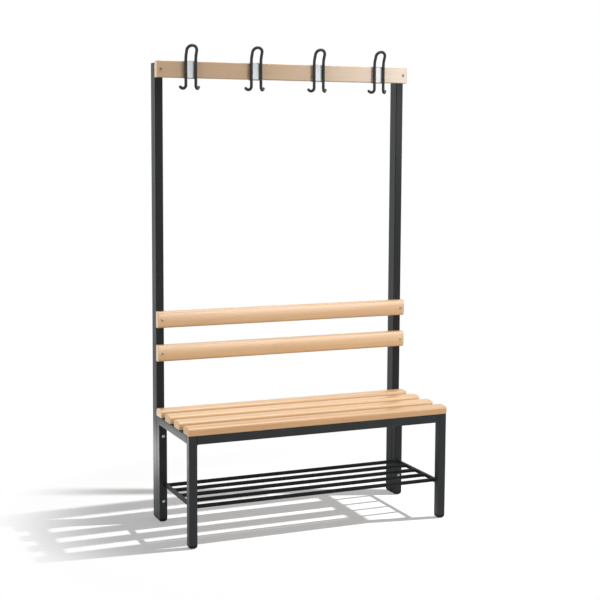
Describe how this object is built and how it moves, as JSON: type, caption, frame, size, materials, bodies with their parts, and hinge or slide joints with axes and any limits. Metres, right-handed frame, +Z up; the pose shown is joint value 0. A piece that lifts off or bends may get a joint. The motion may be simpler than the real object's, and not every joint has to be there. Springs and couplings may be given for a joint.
{
  "type": "changing room bench",
  "caption": "Changing room bench with a slatted beech seat and backrest on a dark tube frame, a shoe rack under the seat, and a wooden rail with wire coat hooks on two tall posts.",
  "frame": {"origin": "on the floor, under the middle of the bench's box", "axes": "+Z up, +Y from the seat's front edge to the posts' backs, +X along the slats to the right as seen from the front"},
  "size_m": [1.003, 0.4254, 1.7394],
  "materials": {
    "beech": "clear lacquered beech, satin",
    "powder_coat": "anthracite powder coat, satin",
    "black_plastic": "moulded, matte",
    "hook_coating": "black coated wire, satin",
    "clip_enamel": "pale grey coat, satin",
    "zinc": "bright zinc"
  },
  "bodies": {
    "root": {"backrest_slat_lower": "beech", "backrest_slat_lower_screw_left": "zinc", "backrest_slat_lower_screw_right": "zinc", "backrest_slat_upper": "beech", "backrest_slat_upper_screw_left": "zinc", "backrest_slat_upper_screw_right": "zinc", "hook_1": "hook_coating", "hook_2": "hook_coating", "hook_3": "hook_coating", "hook_4": "hook_coating", "hook_clip_1": "clip_enamel", "hook_clip_2": "clip_enamel", "hook_clip_3": "clip_enamel", "hook_clip_4": "clip_enamel", "hook_rail": "beech", "hook_rail_screw_left": "zinc", "hook_rail_screw_right": "zinc", "leg_foot_front_left": "black_plastic", "leg_foot_front_right": "black_plastic", "leg_foot_rear_left": "black_plastic", "leg_foot_rear_right": "black_plastic", "leg_front_left": "powder_coat", "leg_front_right": "powder_coat", "leg_rear_left": "powder_coat", "leg_rear_right": "powder_coat", "post_bolt_lower_left": "zinc", "post_bolt_lower_right": "zinc", "post_bolt_upper_left": "zinc", "post_bolt_upper_right": "zinc", "post_cap_left": "black_plastic", "post_cap_right": "black_plastic", "post_foot_left": "black_plastic", "post_foot_right": "black_plastic", "post_left": "powder_coat", "post_right": "powder_coat", "rack_bar_1": "powder_coat", "rack_bar_2": "powder_coat", "rack_bar_3": "powder_coat", "rack_bar_4": "powder_coat", "rack_bar_5": "powder_coat", "rack_cross_bar_left": "powder_coat", "rack_cross_bar_right": "powder_coat", "seat_rail_front": "powder_coat", "seat_rail_left": "powder_coat", "seat_rail_rear": "powder_coat", "seat_rail_right": "powder_coat", "seat_screw_1_left": "zinc", "seat_screw_1_right": "zinc", "seat_screw_2_left": "zinc", "seat_screw_2_right": "zinc", "seat_screw_3_left": "zinc", "seat_screw_3_right": "zinc", "seat_screw_4_left": "zinc", "seat_screw_4_right": "zinc", "seat_slat_1": "beech", "seat_slat_2": "beech", "seat_slat_3": "beech", "seat_slat_4": "beech"}
  },
  "joints": []
}
